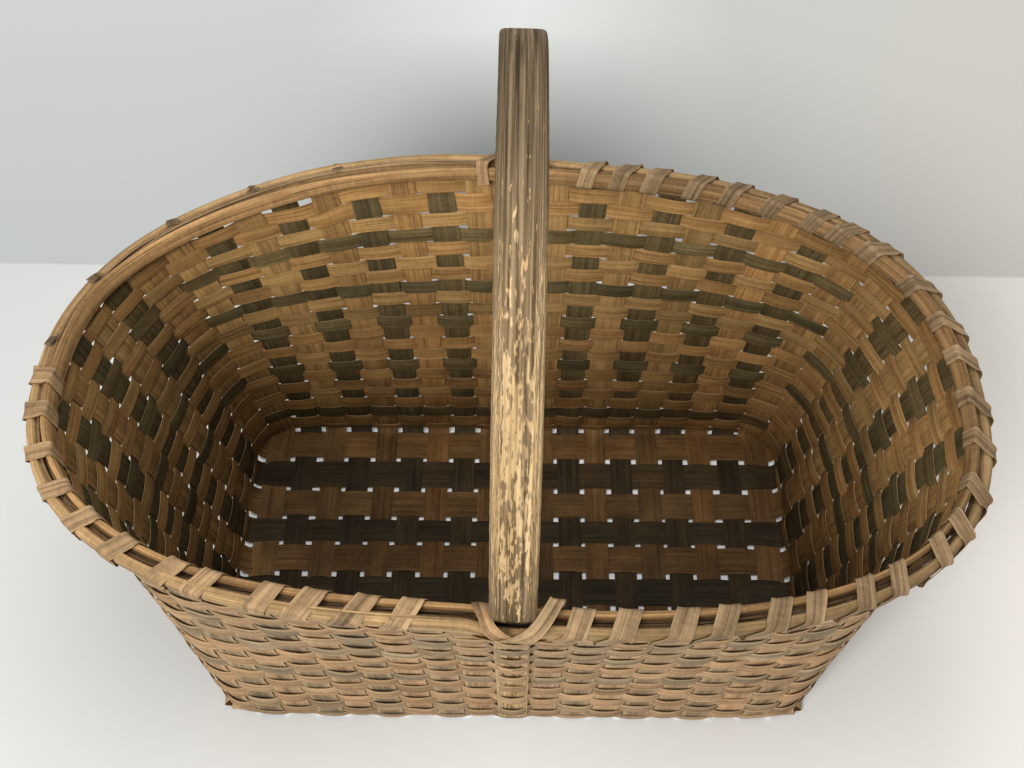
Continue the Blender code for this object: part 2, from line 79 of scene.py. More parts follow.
# Neck below the foot: its length, and from where and over what length it grows thicker and wider;
# where dirt and painted shade start below the foot and end below the rim, and from where down the tail is
# bare
NECK_LENGTH, THICKEN_FROM, THICKEN_LENGTH, WIDEN_FROM, WIDEN_LENGTH = 0.0050, 0.0055, 0.010, 0.0045, 0.0115
DIRT_AND_SHADE_GAP, DIRT_AND_SHADE_FADE, DIRT_AND_SHADE_END, DIRT_AND_SHADE_END_FADE, BARE_TAIL = 0.001, 0.004, 0.022, 0.006, 0.014

# Places round the rim, in uprights from the front middle, and for each the rise of the whole wall's
# top, the inner hoop's height, the outer hoop's rise, and how far that hoop has sprung away
RIM_PLACES = (
    (0, -0.0030, 0.0122, 0.0042, 0.0),
    (1.2, -0.0044, 0.0122, -0.0008, 0.0),
    (9, -0.0025, 0.0125, -0.0012, 0.0),
    (19, 0.0, 0.0125, 0.0003, 0.0),
    (26, 0.0002, 0.0125, 0.0014, 0.0),
    (29, 0.0010, 0.0096, 0.0052, 0.0022),
    (31, 0.0020, 0.0088, 0.0054, 0.0026),
    (33, -0.0010, 0.0105, 0.0052, 0.0026),
    (35, -0.0042, 0.0118, 0.0036, 0.0022),
    (37, -0.0065, 0.0118, 0.0020, 0.0015),
    (39, -0.0055, 0.0122, 0.0010, 0.0006),
    (43, -0.0012, 0.0125, 0.0, 0.0),
    (47, -0.0052, 0.0125, 0.0012, 0.0),
    (49.5, -0.0088, 0.0125, 0.0045, 0.0),
    (51.5, -0.0048, 0.0122, 0.0052, 0.0),
    (53.5, -0.0030, 0.0122, 0.0056, 0.0),
    (55, -0.0016, 0.0122, 0.0050, 0.0))
RIM_TURNS, WALL_LEVELS, INNER_HEIGHTS, OUTER_LEVELS, OUTER_SPRING = zip(*RIM_PLACES)
SCRAP_TURNS = (32.4, 34.5, 36.6, 39.0, 41.2)

# The three top rows have crept up where the inner hoop is low: place, reach and run-out in uprights,
# and for each row its rise and the share of its usual width
CREEP_TURN, CREEP_REACH, CREEP_EASE = 30.2, 3.2, 1.2
CREEP_ROWS = {19: (0.0008, 1.08), 20: (0.0034, 1.42), 21: (0.0054, 1.05)}

# Numbers of steps: round the rim's outline, across the floor, up an upright, up a handle's tail and
# over its arch; between two uprights along a weaver and along a hoop; and across a strip
RIM_STEPS, FLOOR_STEPS, UPRIGHT_STEPS, TAIL_STEPS, ARCH_STEPS = 2880, 80, 110, 40, 181
WEAVER_STEPS, HOOP_STEPS, STRIP_COLUMNS = 10, 8, 5

# Lengths round a hoop and round the handle for the grain, and the angle at which edges are sharp
HOOP_GIRTH, HANDLE_GIRTH, SHARP_ANGLE = 0.032, 0.078, math.radians(42.0)

UPRIGHTS = 2 * (SHORTS + LONGS)
BACK = UPRIGHTS // 2
WALL_RISE = RIM_HEIGHT - FOOT_RISE
STARTER_SHARE = STARTER_HEIGHT / WALL_RISE
ROW_SHARE = (1.0 - RIM_ZONE / WALL_RISE - STARTER_SHARE) / ROWS
FIRST_ROW = STARTER_SHARE + ROW_SHARE / 2.0


# Wall surface, before its hand-made unevenness

def signed_power(value, power):
    return np.sign(value) * np.abs(value) ** power


def limited(value):
    return np.clip(value, 0.0, 1.0)


def ease(value):
    """The same way from 0 to 1, slow at both ends."""
    return value * value * (3.0 - 2.0 * value)


def lengths_along(points, closed=False):
    """Length of the line up to each point; a closed line's last value is its whole length."""
    if closed:
        points = np.vstack([points, points[:1]])
    return np.concatenate([[0.0], np.cumsum(np.linalg.norm(np.diff(points, axis=0), axis=1))])


def rim_points():
    """Even places of the uprights at the rim, seen from above."""
    angle = 2.0 * math.pi * np.arange(RIM_STEPS + 1) / RIM_STEPS - math.pi / 2.0
    x = RIM_LENGTH / 2.0 * signed_power(np.cos(angle), 2.0 / RIM_EXPONENT)
    y = RIM_WIDTH / 2.0 * signed_power(np.sin(angle), 2.0 / RIM_EXPONENT)
    length = lengths_along(np.column_stack([x, y]))
    target = length[-1] * np.arange(UPRIGHTS) / UPRIGHTS
    return np.column_stack([np.interp(target, length, x), np.interp(target, length, y) - RIM_FORWARD])


def foot_edge(across, half_across, half_other):
    return half_other * (1.0 - (abs(across) / half_across) ** FOOT_EXPONENT) ** (1.0 / FOOT_EXPONENT)


def short_x(number):
    return (number - (SHORTS + 1) / 2.0) * SHORT_PITCH


def long_y(number):
    return (number - (LONGS + 1) / 2.0) * LONG_PITCH


def round_spline(values, place):
    """Smooth closed curve through values, read at any place round it."""
    low = np.floor(place).astype(int)
    f = (place - low)[:, None]
    a, b, c, d = (values[(low + k) % len(values)] for k in (-1, 0, 1, 2))
    return 0.5 * (2 * b + (c - a) * f + (2 * a - 5 * b + 4 * c - d) * f ** 2
                  + (3 * b - a - 3 * c + d) * f ** 3)


def round_rim(turn, values):
    """A length that changes smoothly round the rim, from its values at the rim's places."""
    rough = np.interp(np.arange(UPRIGHTS), RIM_TURNS, values, period=UPRIGHTS)
    even = (np.roll(rough, 1) + 2.0 * rough + np.roll(rough, -1)) / 4.0
    return round_spline(even[:, None], np.asarray(turn, float))[:, 0]


def foot_points():
    """Places where the uprights start at the foot, seen from above."""
    half_l, half_w, middle = FOOT_LENGTH / 2.0, FOOT_WIDTH / 2.0, (SHORTS + 1) // 2
    side = [(short_x(n), foot_edge(short_x(n), half_l, half_w)) for n in range(1, SHORTS + 1)]
    end = [(foot_edge(long_y(n), half_w, half_l), long_y(n)) for n in range(1, LONGS + 1)]
    feet = [(x, -y) for x, y in side[middle - 1:]] + end + [(x, y) for x, y in reversed(side)]
    feet += [(-x, y) for x, y in reversed(end)] + [(x, -y) for x, y in side[:middle - 1]]
    return np.array(feet) - [0.0, FLOOR_FORWARD]


RIM = rim_points()
FEET = foot_points()
STATIONS = np.array([0.0, STARTER_SHARE + 7 * ROW_SHARE, STARTER_SHARE + 14 * ROW_SHARE, 1.0])


def rising_curve(values, place):
    """Smooth rising curve through values at the stations, straight beyond both ends."""
    values = np.array(values)
    step, rise = np.diff(STATIONS), np.diff(values)
    slope = rise / step
    lean = np.concatenate([[slope[0]], 2 * slope[1:] * slope[:-1] / (slope[1:] + slope[:-1]), [slope[-1]]])
    part = np.clip(np.searchsorted(STATIONS, place, side="right") - 1, 0, len(step) - 1)
    f = (place - STATIONS[part]) / step[part]
    g = limited(f)
    inner = (values[part] * (1 + 2 * g) * (1 - g) ** 2 + step[part] * lean[part] * g * (1 - g) ** 2
             + values[part + 1] * g * g * (3 - 2 * g) + step[part] * lean[part + 1] * g * g * (g - 1))
    beyond = np.where(f > 1, (f - 1) * lean[part + 1], np.where(f < 0, f * lean[part], 0.0))
    return inner + beyond * step[part]


def wall(turn, up):
    """Point of the wall at a place counted in uprights and a share of its height."""
    turn, up = np.broadcast_arrays(np.asarray(turn, float), np.asarray(up, float))
    rim, foot = round_spline(RIM, turn), round_spline(FEET, turn)
    weight = np.minimum(1.0, np.abs(rim[:, 0]) / (RIM_LENGTH / 2.0)) ** 4
    side, end = rising_curve(SIDE_SHARES, up), rising_curve(END_SHARES, up)
    plan = foot + (rim - foot) * (side + (end - side) * weight)[:, None]
    level = round_rim(turn, WALL_LEVELS) * limited(up) ** 2
    return np.column_stack([plan, FOOT_RISE + WALL_RISE * up + level])


def unit(vectors):
    return vectors / np.maximum(np.linalg.norm(vectors, axis=1, keepdims=True), 1e-12)


def wall_frame(turn, up):
    """Point, direction round, direction up, direction out, and how sharply the wall bends there."""
    step = 0.25
    here, ahead, behind = wall(turn, up), wall(turn + step, up), wall(turn - step, up)
    across = unit(ahead - behind)
    rise = unit(wall(turn, up + 0.01) - wall(turn, up - 0.01))
    out = unit(np.cross(across, rise))
    reach = np.linalg.norm(ahead - behind, axis=1) / 2.0
    bend = -np.sum((ahead + behind - 2 * here) * out, axis=1) / reach ** 2
    return here, across, rise, out, bend


def from_handle(turn):
    """How many uprights a place is away from the nearer foot of the handle."""
    return np.minimum(np.abs((turn + BACK) % UPRIGHTS - BACK), np.abs(turn % UPRIGHTS - BACK))


def uneven(points):
    """The rim's hand-made sag, tilt and warp, the whole moved back until the rim is centred."""
    share = limited((points[:, 2] - FOOT_RISE) / WALL_RISE)
    along, through = points[:, 0] / (RIM_LENGTH / 2.0), points[:, 1] / (RIM_WIDTH / 2.0)
    lift = RIM_WARP * along * through - RIM_TILT * along - RIM_SAG * along ** 2
    return points + np.column_stack([0.0 * lift, np.full(len(lift), RIM_FORWARD), lift * share])


# Hand-made unevenness

def draws_for(name, further=0):
    """Random draws seeded by a piece's name."""
    seed = sum((place + 3) * ord(letter) for place, letter in enumerate(name))
    return np.random.default_rng(seed + further)


def wander(count, knots, rng, closed=False):
    """Smooth random curve between -1 and 1 with about one turn for each knot."""
    values = rng.uniform(-1.0, 1.0, knots + (0 if closed else 1))
    place = np.arange(count) / (count if closed else max(1, count - 1)) * knots
    low = np.minimum(place.astype(int), knots - 1)
    f = ease(place - low)
    return values[low] * (1 - f) + values[(low + 1) % len(values)] * f


def soften(path, spacing, sigma):
    """The same path at even steps, with its corners rounded; rows hold a point and more values."""
    length = lengths_along(path[:, :3])
    count = int(length[-1] / spacing) + 1
    target = np.linspace(0.0, length[-1], count)
    even = np.stack([np.interp(target, length, column) for column in path.T], 1)
    reach = int(3 * sigma / spacing)
    kernel = np.exp(-0.5 * (np.arange(-reach, reach + 1) * spacing / sigma) ** 2)
    kernel /= kernel.sum()
    lead = even[0] + (even[0] - even[1]) * np.arange(reach, 0, -1)[:, None]
    tail = even[-1] + (even[-1] - even[-2]) * np.arange(1, reach + 1)[:, None]
    wide = np.concatenate([lead, even, tail])
    return np.stack([np.convolve(column, kernel, "valid") for column in wide.T], 1)


# Materials

def link(tree, source, target):
    tree.links.new(source, target)


def make_node(tree, kind, values=(), **settings):
    """A shader node; values pair an input's name or number with a value or another node's output."""
    node = tree.nodes.new(kind)
    for key, value in settings.items():
        setattr(node, key, value)
    for key, value in values:
        if hasattr(value, "is_linked"):
            link(tree, value, node.inputs[key])
        else:
            node.inputs[key].default_value = value
    return node


def maths(tree, operation, first, second=0.0):
    return make_node(tree, "ShaderNodeMath", [(0, first), (1, second)], operation=operation).outputs[0]


def times(tree, first, second):
    return maths(tree, "MULTIPLY", first, second)


def weighted_sum(tree, first, *others):
    """Sum of values, each given with its weight."""
    total = times(tree, *first)
    for pair in others:
        total = maths(tree, "ADD", total, times(tree, *pair))
    return total


def read_value(tree, name):
    return make_node(tree, "ShaderNodeAttribute", attribute_name=name).outputs["Fac"]


def ramp(tree, factor, stops):
    node = make_node(tree, "ShaderNodeValToRGB", [("Fac", factor)])
    elements = node.color_ramp.elements
    while len(elements) < len(stops):
        elements.new(0.5)
    for element, (place, colour) in zip(elements, stops):
        element.position = place
        element.color = (*colour, 1.0)
    return node.outputs["Color"]


def blend_colour(tree, factor, first, second, kind="MIX"):
    node = make_node(tree, "ShaderNodeMix", [(0, factor)], data_type="RGBA", blend_type=kind)
    for key, value in ((6, first), (7, second)):
        if isinstance(value, tuple):
            node.inputs[key].default_value = (*value, 1.0)
        else:
            link(tree, value, node.inputs[key])
    return node.outputs[2]


def tint(tree, colour, other):
    return blend_colour(tree, 1.0, colour, other, "MULTIPLY")


def dim(tree, colour, share):
    grey = make_node(tree, "ShaderNodeCombineXYZ", [(0, share), (1, share), (2, share)]).outputs[0]
    return tint(tree, colour, grey)


def span(tree, value, low, high, to_low=0.0, to_high=1.0):
    """The value taken from one range to another and kept inside it."""
    values = [("Value", value), ("From Min", low), ("From Max", high),
              ("To Min", to_low), ("To Max", to_high)]
    return make_node(tree, "ShaderNodeMapRange", values, clamp=True).outputs[0]


def grain_noise(tree, along, around, detail, roughness=0.55):
    """Noise stretched along the piece and shifted by the piece's own seed."""
    place = make_node(tree, "ShaderNodeUVMap", uv_map="grain").outputs["UV"]
    parts = make_node(tree, "ShaderNodeSeparateXYZ", [(0, place)]).outputs
    values = [(0, times(tree, parts[0], along)), (1, times(tree, parts[1], around)),
              (2, read_value(tree, "seed"))]
    vector = make_node(tree, "ShaderNodeCombineXYZ", values).outputs[0]
    values = [("Vector", vector), ("Scale", 1.0), ("Detail", detail), ("Roughness", roughness)]
    return make_node(tree, "ShaderNodeTexNoise", values).outputs["Fac"]


def new_material(name, specular=0.15):
    """A material with its node tree and its shader."""
    material = bpy.data.materials.new(name)
    material.use_nodes = True
    shader = material.node_tree.nodes["Principled BSDF"]
    shader.inputs["Specular IOR Level"].default_value = specular
    return material, material.node_tree, shader


def finish_wood(tree, shader, colour, roughness, height, strength, depth):
    link(tree, colour, shader.inputs["Base Color"])
    link(tree, roughness, shader.inputs["Roughness"])
    values = [("Strength", strength), ("Distance", depth), ("Height", height)]
    bump = make_node(tree, "ShaderNodeBump", values)
    link(tree, bump.outputs["Normal"], shader.inputs["Normal"])


# Colour of pale edges, partly a painted highlight; and the tint that dirt and painted shade give the wood
EDGE_COLOUR, GRIME_AND_SHADE_COLOUR = (0.56, 0.41, 0.235), (0.135, 0.090, 0.045)

# Painted shade that darkens the tones towards the right end, in the weave and in the rim: over what length,
# how much
WEAVE_SHADE, RIM_SHADE = (0.24, 0.19), (0.12, 0.95)

# How high dirt and painted shade reach from the floor, from where they lie at the two ends, and over what
# length
GRIME_AND_SHADE_HEIGHT, GRIME_AND_SHADE_END, GRIME_AND_SHADE_SPREAD = 0.175, 0.165, 0.07


def oak_material(name, dark, middle, pale, faded, roughness, fade, tone_depth=0.30, edge_share=0.45,
                 reach=0.155):
    """Split oak: fine grain lines, broad streaks, ray flecks, stains, faded outer face, pale edges that are
    partly a painted highlight, and dirt with painted shade.
    """
    material, tree, shader = new_material(name)
    fine = grain_noise(tree, 16.0, 1500.0, 3.0, 0.6)
    broad = grain_noise(tree, 9.0, 330.0, 2.0)
    fleck = grain_noise(tree, 420.0, 160.0, 2.0)
    stain = grain_noise(tree, 26.0, 40.0, 3.0)
    outer = read_value(tree, "outer")
    mixed = weighted_sum(tree, (fine, 0.45), (broad, 0.40), (fleck, 0.15))
    colour = ramp(tree, mixed, [(0.50 - reach, dark), (0.50, middle), (0.50 + reach, pale)])
    worn = ramp(tree, mixed, [(0.50 - reach * 0.7, tuple(c * 0.56 for c in faded)), (0.50, faded),
                              (0.50 + reach * 0.7, tuple(c * 1.32 for c in faded))])
    bleached = times(tree, times(tree, outer, fade), span(tree, stain, 0.35, 0.6, 0.75, 1.0))
    colour = blend_colour(tree, bleached, colour, worn)
    # The tone holds random differences between pieces and the painted shade towards the right end
    tone = maths(tree, "ADD", times(tree, read_value(tree, "tone"), tone_depth), 1.0)
    colour = dim(tree, colour, times(tree, tone, span(tree, stain, 0.30, 0.70, 0.84, 1.14)))
    warmth = span(tree, read_value(tree, "warmth"), -1.0, 1.0)
    colour = tint(tree, colour, blend_colour(tree, warmth, (0.97, 0.975, 0.93), (1.06, 0.935, 0.82)))
    # Pale edges: worn, and a painted highlight where the upper edge is paler
    edge = times(tree, read_value(tree, "edge"), span(tree, outer, 0.55, 1.0))
    colour = blend_colour(tree, times(tree, edge, edge_share), colour, EDGE_COLOUR)
    # Dirt and painted shade, darkest inside at the floor and up the two ends
    grime_and_shade = times(tree, read_value(tree, "grime_and_shade"), span(tree, stain, 0.25, 0.75, 1.0, 0.82))
    colour = blend_colour(tree, grime_and_shade, colour, tint(tree, colour, GRIME_AND_SHADE_COLOUR))
    rough = span(tree, fine, 0.3, 0.7, roughness + 0.10, roughness - 0.08)
    finish_wood(tree, shader, colour, rough, weighted_sum(tree, (fine, 1.0), (broad, 0.7)), 0.55, 0.0004)
    return material


# Each wood is a material paired with a name
LIGHT = oak_material("light_oak_split", (0.130, 0.071, 0.024), (0.300, 0.176, 0.066), (0.44, 0.280, 0.121),
                     (0.385, 0.262, 0.165), 0.66, 0.8), "light_oak"
DARK = oak_material("dark_oak_split", (0.036, 0.026, 0.010), (0.088, 0.066, 0.028), (0.155, 0.120, 0.057),
                    (0.30, 0.222, 0.145), 0.66, 0.85), "dark_oak"
RIM_WOOD = oak_material(
    "rim_oak_shaved", (0.082, 0.045, 0.017), (0.305, 0.183, 0.078), (0.525, 0.347, 0.170),
    (0.39, 0.254, 0.130), 0.60, 0.5, tone_depth=0.34, edge_share=0.0, reach=0.15), "rim_oak"
LASHING = oak_material(
    "lashing_oak_split", (0.092, 0.056, 0.025), (0.273, 0.176, 0.089), (0.515, 0.352, 0.194),
    (0.331, 0.224, 0.132), 0.62, 0.6, edge_share=0.15, reach=0.14), "lashing_oak"


# Building

def new_object(name, data):
    item = bpy.data.objects.new(name, data)
    bpy.context.scene.collection.objects.link(item)
    return item


def face_lists(rows, columns, closed):
    """Four corners of every face between neighbouring rings."""
    grid = np.arange(rows * columns).reshape(rows, columns)
    follow = np.roll(grid, -1, axis=0) if closed else grid[1:]
    first = grid if closed else grid[:-1]
    corners = [first, np.roll(first, -1, axis=1), np.roll(follow, -1, axis=1), follow]
    return np.stack(corners, -1).reshape(-1, 4)


def grain_places(faces, rows, columns, closed, along, around):
    """Grain coordinates of every corner of every face, carried on to full length at the seams."""
    vertex = np.array([index for face in faces for index in face])
    row_of, column_of = vertex // columns, vertex % columns
    sizes = np.array([len(face) for face in faces])
    face_of = np.repeat(np.arange(len(faces)), sizes)

    def beside(chosen):
        """For every corner, whether its face has a chosen corner."""
        found = np.zeros(len(faces), bool)
        np.logical_or.at(found, face_of, chosen)
        return found[face_of]

    u, v = along[row_of], around[column_of]
    if closed:
        u = np.where(beside(row_of == rows - 1) & (row_of == 0), along[rows], u)
    on_side = (sizes == 4)[face_of]
    v = np.where(beside(column_of == columns - 1) & on_side & (column_of == 0), around[columns], v)
    return np.column_stack([u, v]).ravel().astype(np.float32)


def loft(name, rings, closed, along, around, values, wood, nodes):
    """A solid through equal rings of points, with grain coordinates in metres and values for its worn look,
    dirt, painted shade and painted highlights.
    """
    rows, columns = rings.shape[:2]
    points = uneven(rings.reshape(-1, 3))
    quads = face_lists(rows, columns, closed)
    corner = points[quads]
    volume = 0.0
    for k in (1, 2):
        volume += np.einsum("ij,ij->i", corner[:, 0], np.cross(corner[:, k], corner[:, k + 1])).sum()
    faces = [tuple(quad) for quad in quads]
    if not closed:
        faces += [tuple(range(columns))[::-1], tuple(range((rows - 1) * columns, rows * columns))]
    if volume < 0.0:
        faces = [face[::-1] for face in faces]
    mesh = bpy.data.meshes.new(name)
    mesh.from_pydata(points.tolist(), [], faces)
    layer = mesh.uv_layers.new(name="grain")
    layer.data.foreach_set("uv", grain_places(faces, rows, columns, closed, along, around))
    rng = draws_for(name)
    standard = {"seed": rng.uniform(0.0, 80.0), "tone": 0.0, "warmth": rng.uniform(-1.0, 1.0), "outer": 0.0,
                "edge": 0.0, "grime_and_shade": 0.0}
    standard.update(values)
    material, slot = wood
    # Painted shade: the tone darkens towards the right end
    reach, depth = RIM_SHADE if wood in (RIM_WOOD, LASHING) else WEAVE_SHADE
    shade = -depth * limited(points[:, 0] / reach)
    for key, value in standard.items():
        spread = np.broadcast_to(value, (rows, columns)).ravel().astype(np.float32)
        if key == "tone":
            spread = (spread + shade).astype(np.float32)
        mesh.attributes.new(key, "FLOAT", "POINT").data.foreach_set("value", spread)
    mesh.shade_smooth()
    mesh.set_sharp_from_angle(angle=SHARP_ANGLE)
    mesh.materials.append(material)
    piece = new_object(name, mesh)
    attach(piece, "root")
    if nodes:
        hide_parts(*nodes)


def depth_grime_and_shade(points):
    """How much dirt and painted shade lie on a place: most at the floor, some up the two end walls."""
    height = limited(points[:, 2] / GRIME_AND_SHADE_HEIGHT)
    ends = limited((np.abs(points[:, 0]) - GRIME_AND_SHADE_END) / GRIME_AND_SHADE_SPREAD)
    return limited((1.0 - height) ** 0.8 + 0.32 * ends * height)


def rings_round(centre, first, a, second, b):
    """Rings of points round a centre line, at lengths a and b in two directions."""
    return centre[:, None] + first[:, None] * a[..., None] + second[:, None] * b[..., None]


def strip_rings(centre, across, out, width, thickness, bend):
    """Rings of a thin strip that follows the wall's bend across its width."""
    v = np.linspace(-1.0, 1.0, STRIP_COLUMNS)
    half = (width / 2.0)[:, None] * v
    sag = -0.5 * bend[:, None] * half ** 2
    skin = thickness / 2.0 * (1.0 - 0.35 * v ** 4)
    upper = rings_round(centre, across, half, out, sag + skin)
    lower = rings_round(centre, across, half, out, sag - skin)
    return np.concatenate([upper, lower[:, ::-1]], axis=1)


def strip_values(points, tone, low_edge):
    """Values of a strip for its worn look, dirt, painted shade and painted highlight: outer face first, then
    the inner face.
    """
    v, face = np.linspace(-1.0, 1.0, STRIP_COLUMNS), np.ones(STRIP_COLUMNS)
    # Pale edges on both sides; where the lower edge is less pale, the paler upper edge is a painted
    # highlight
    bright = np.where(v > 0.0, 1.0, low_edge) * np.abs(v) ** 5
    # Dirt and painted shade, mostly on the inner face
    grime_and_shade = np.concatenate([0.10 * face, 0.90 * face]) * depth_grime_and_shade(points)[:, None]
    return {"tone": tone[:, None], "outer": np.concatenate([face, 0.0 * face]),
            "edge": np.concatenate([bright, bright[::-1]]), "grime_and_shade": grime_and_shade}


def make_strip(name, centre, across, out, width, bend, thickness, closed, wood, nodes, tone, low_edge=1.0):
    rings = strip_rings(centre, across, out, width, thickness, bend)
    flat = np.linspace(0.0, width.mean(), STRIP_COLUMNS)
    around = np.concatenate([flat, flat + width.mean() + thickness, [2.0 * (width.mean() + thickness)]])
    values = strip_values(centre, tone, low_edge)
    loft(name, rings, closed, lengths_along(centre, True), around, values, wood, nodes)


# Floor splints and uprights

def splint_path(start, end, floor_points):
    """Path of a splint: down one wall, across the floor, up the other; columns are the point,
    the direction across, the wall's bend, the place on the wall, and how far it is on the wall."""
    up = np.linspace(1.0 - UPRIGHT_END / WALL_RISE, 0.012, UPRIGHT_STEPS)
    parts = []
    for turn, sign in ((start, 1), (end, -1)):
        here, across, rise, out, bend = wall_frame(turn, up)
        parts.append(np.column_stack([here, across * sign, bend, up, np.ones(len(up))])[::sign])
    return np.concatenate([parts[0], floor_points, parts[1]])


def make_splint(name, number, along_x, start, end):
    """One floor splint with its two uprights, which stand at the turns start and end."""
    rng = draws_for(name)
    axis = 0 if along_x else 1
    pitch, crossed = (SHORT_PITCH, SHORTS) if along_x else (LONG_PITCH, LONGS)
    half = (FOOT_LENGTH if along_x else FOOT_WIDTH) / 2.0 - FOLD_MARGIN
    track = np.linspace(-half, half, FLOOR_STEPS)
    place = long_y(number) if along_x else short_x(number)
    shift = (LONG_SHIFTS if along_x else SHORT_SHIFTS).get(number, 0.0)
    fixed = place + shift * ease(limited((half - np.abs(track)) / SETTLE_REACH))
    level = np.full(FLOOR_STEPS, FLOOR_MIDDLE)
    forward = [0.0, FLOOR_FORWARD, 0.0]
    xyz = np.column_stack([track, fixed, level] if along_x else [fixed, track, level]) - forward
    across = np.tile([0.0, -1.0, 0.0] if along_x else [1.0, 0.0, 0.0], (FLOOR_STEPS, 1))
    floor = np.column_stack([xyz, across, np.zeros((FLOOR_STEPS, 3))])
    path = soften(splint_path(start, end, floor), 0.0016, 0.0017)
    count = len(path)
    centre, across, bend, up, on_wall = path[:, :3], path[:, 3:6], path[:, 6], path[:, 7], path[:, 8]
    ahead = unit(np.gradient(centre, axis=0))
    out = unit(np.cross(ahead, unit(across)))
    across = unit(np.cross(out, ahead))
    turn = np.where(np.arange(count) < count / 2, start, end)
    row = 1.0 + (up - FIRST_ROW) / ROW_SHARE
    wall_wave = -UPRIGHT_BOW * np.cos(math.pi * (turn + row))
    crossing = (centre[:, axis] + forward[axis]) / pitch + (crossed + 1) / 2.0
    floor_wave = FLOOR_BOW * np.cos(math.pi * (crossing + number)) * (1.0 if along_x else -1.0)
    share = limited(on_wall) ** 2
    wave = wall_wave * share + floor_wave * (1.0 - share)
    wave += 0.00025 * wander(count, 24, rng)
    centre = centre + out * wave[:, None]
    low, high = LONG_WIDTHS if along_x else SHORT_WIDTHS
    width = low + (high - low) * limited(up * 1.6)
    width = width * (1.0 + 0.045 * wander(count, 11, rng) + 0.012 * wander(count, 60, rng))
    inward = limited((half - np.abs(centre[:, axis] + forward[axis])) / WIDEN_REACH)
    width = width * (1.0 + (WIDE_SPLINTS.get(name, 1.0) - 1.0) * inward * (1.0 - share))
    centre = centre + across * (0.0005 * wander(count, 10, rng))[:, None]
    dark = number % 2 == 0
    tone = rng.uniform(-0.5, 0.5) + 0.5 * wander(count, 14, rng) - (0.35 if dark else 0.0)
    make_strip(name, centre, across, out, width, bend * share, SPLINT_THICKNESS, False,
               DARK if dark else LIGHT, [name], tone)


def make_floor_and_uprights():
    middle, corner = (SHORTS + 1) // 2, (SHORTS - 1) // 2
    for number in range(1, SHORTS + 1):
        front, back = (number - middle) % UPRIGHTS, (BACK - number + middle) % UPRIGHTS
        make_splint("short_splint_%02d" % number, number, False, front, back)
    for number in range(1, LONGS + 1):
        right, left = corner + number, UPRIGHTS - corner - number
        make_splint("long_splint_%d" % number, number, True, left, right)


# Weavers

def tail_thickness(up):
    """Thickness of the handle's tails at a share of the wall's height."""
    return TAIL_THICKNESS * (1.0 + limited(up))


def make_weaver(row):
    """A closed hoop that passes outside one upright and inside the next; row 0 is the starter, which
    stays outside at the foot's corners."""
    starter, dark = row == 0, row in DARK_ROWS
    name = "starter_weaver" if starter else "weaver_%02d" % row
    rng = draws_for(name)
    count = UPRIGHTS * WEAVER_STEPS
    turn = np.arange(count) / WEAVER_STEPS
    middle = STARTER_SHARE / 2.0 if starter else FIRST_ROW + ROW_SHARE * (row - 1)
    up = middle + ROW_SHARE * (0.075 * wander(count, 40, rng, True) + 0.08 * wander(count, 12, rng, True))
    creep = ease(limited((CREEP_REACH - np.abs(turn - CREEP_TURN)) / CREEP_EASE))
    climb, widening = CREEP_ROWS.get(row, (0.0, 1.0))
    up = up + creep * climb / WALL_RISE
    here, across, rise, out, bend = wall_frame(turn, up)
    swing = np.tanh(PRESS * np.cos(math.pi * (turn + row))) / math.tanh(PRESS)
    bow = np.where(swing > 0.0, OUTWARD_BOW, INWARD_BOW) * (0.6 if starter else 1.0)
    bow = bow * (1.0 + 0.28 * wander(count, 70, rng, True))
    corner = limited(1.6 - np.abs(from_handle(turn) - SHORTS / 2.0)) if starter else 0.0 * turn
    offset = bow * (swing + (1.0 - swing) * corner)
    if row % 2 == 0 and not starter:
        bump = np.cos(limited(from_handle(turn) / 0.95) * math.pi / 2.0) ** 1.2
        offset = offset + bump * (tail_thickness(up) + 0.0006)
    centre = here + out * offset[:, None]
    size = STARTER_WIDTH if starter else WEAVER_WIDTH
    width = size * (1.0 + 0.06 * (row / ROWS - 0.5) + 0.02 * rng.uniform(-1.0, 1.0))
    width = width * (1.0 + 0.08 * wander(count, 45, rng, True)) * (1.0 + (widening - 1.0) * creep)
    width = width * (1.0 + 0.05 * limited(swing)) * (1.0 + 0.25 * corner)
    tone = rng.uniform(-0.4, 0.4) + 0.6 * wander(count, 34, rng, True) + (0.35 if dark else 0.0)
    # A weaver's lower edge is a quarter as pale as its upper edge: a painted highlight on the upper edge
    make_strip(name, centre, rise, out, width, 6.0 * swing, WEAVER_THICKNESS, True, DARK if dark else LIGHT,
               [name], tone, 0.25)


# Rim

def rim_frame(turn):
    """Point of the rim's top edge, direction round, up and out."""
    return wall_frame(turn, 1.0)[:4]


def handle_bulge(turn):
    """How far the outer hoop is pushed out where the handle's tails pass."""
    return HANDLE_BULGE * np.cos(limited(from_handle(turn)) * math.pi / 2.0) ** 2


def rounded_profile(points, power):
    """Outline of a rounded rectangle of size 1: its thickness and its height."""
    angle = 2.0 * math.pi * (np.arange(points) + 0.5) / points
    return 0.5 * signed_power(np.cos(angle), 2.0 / power), 0.5 * signed_power(np.sin(angle), 2.0 / power)


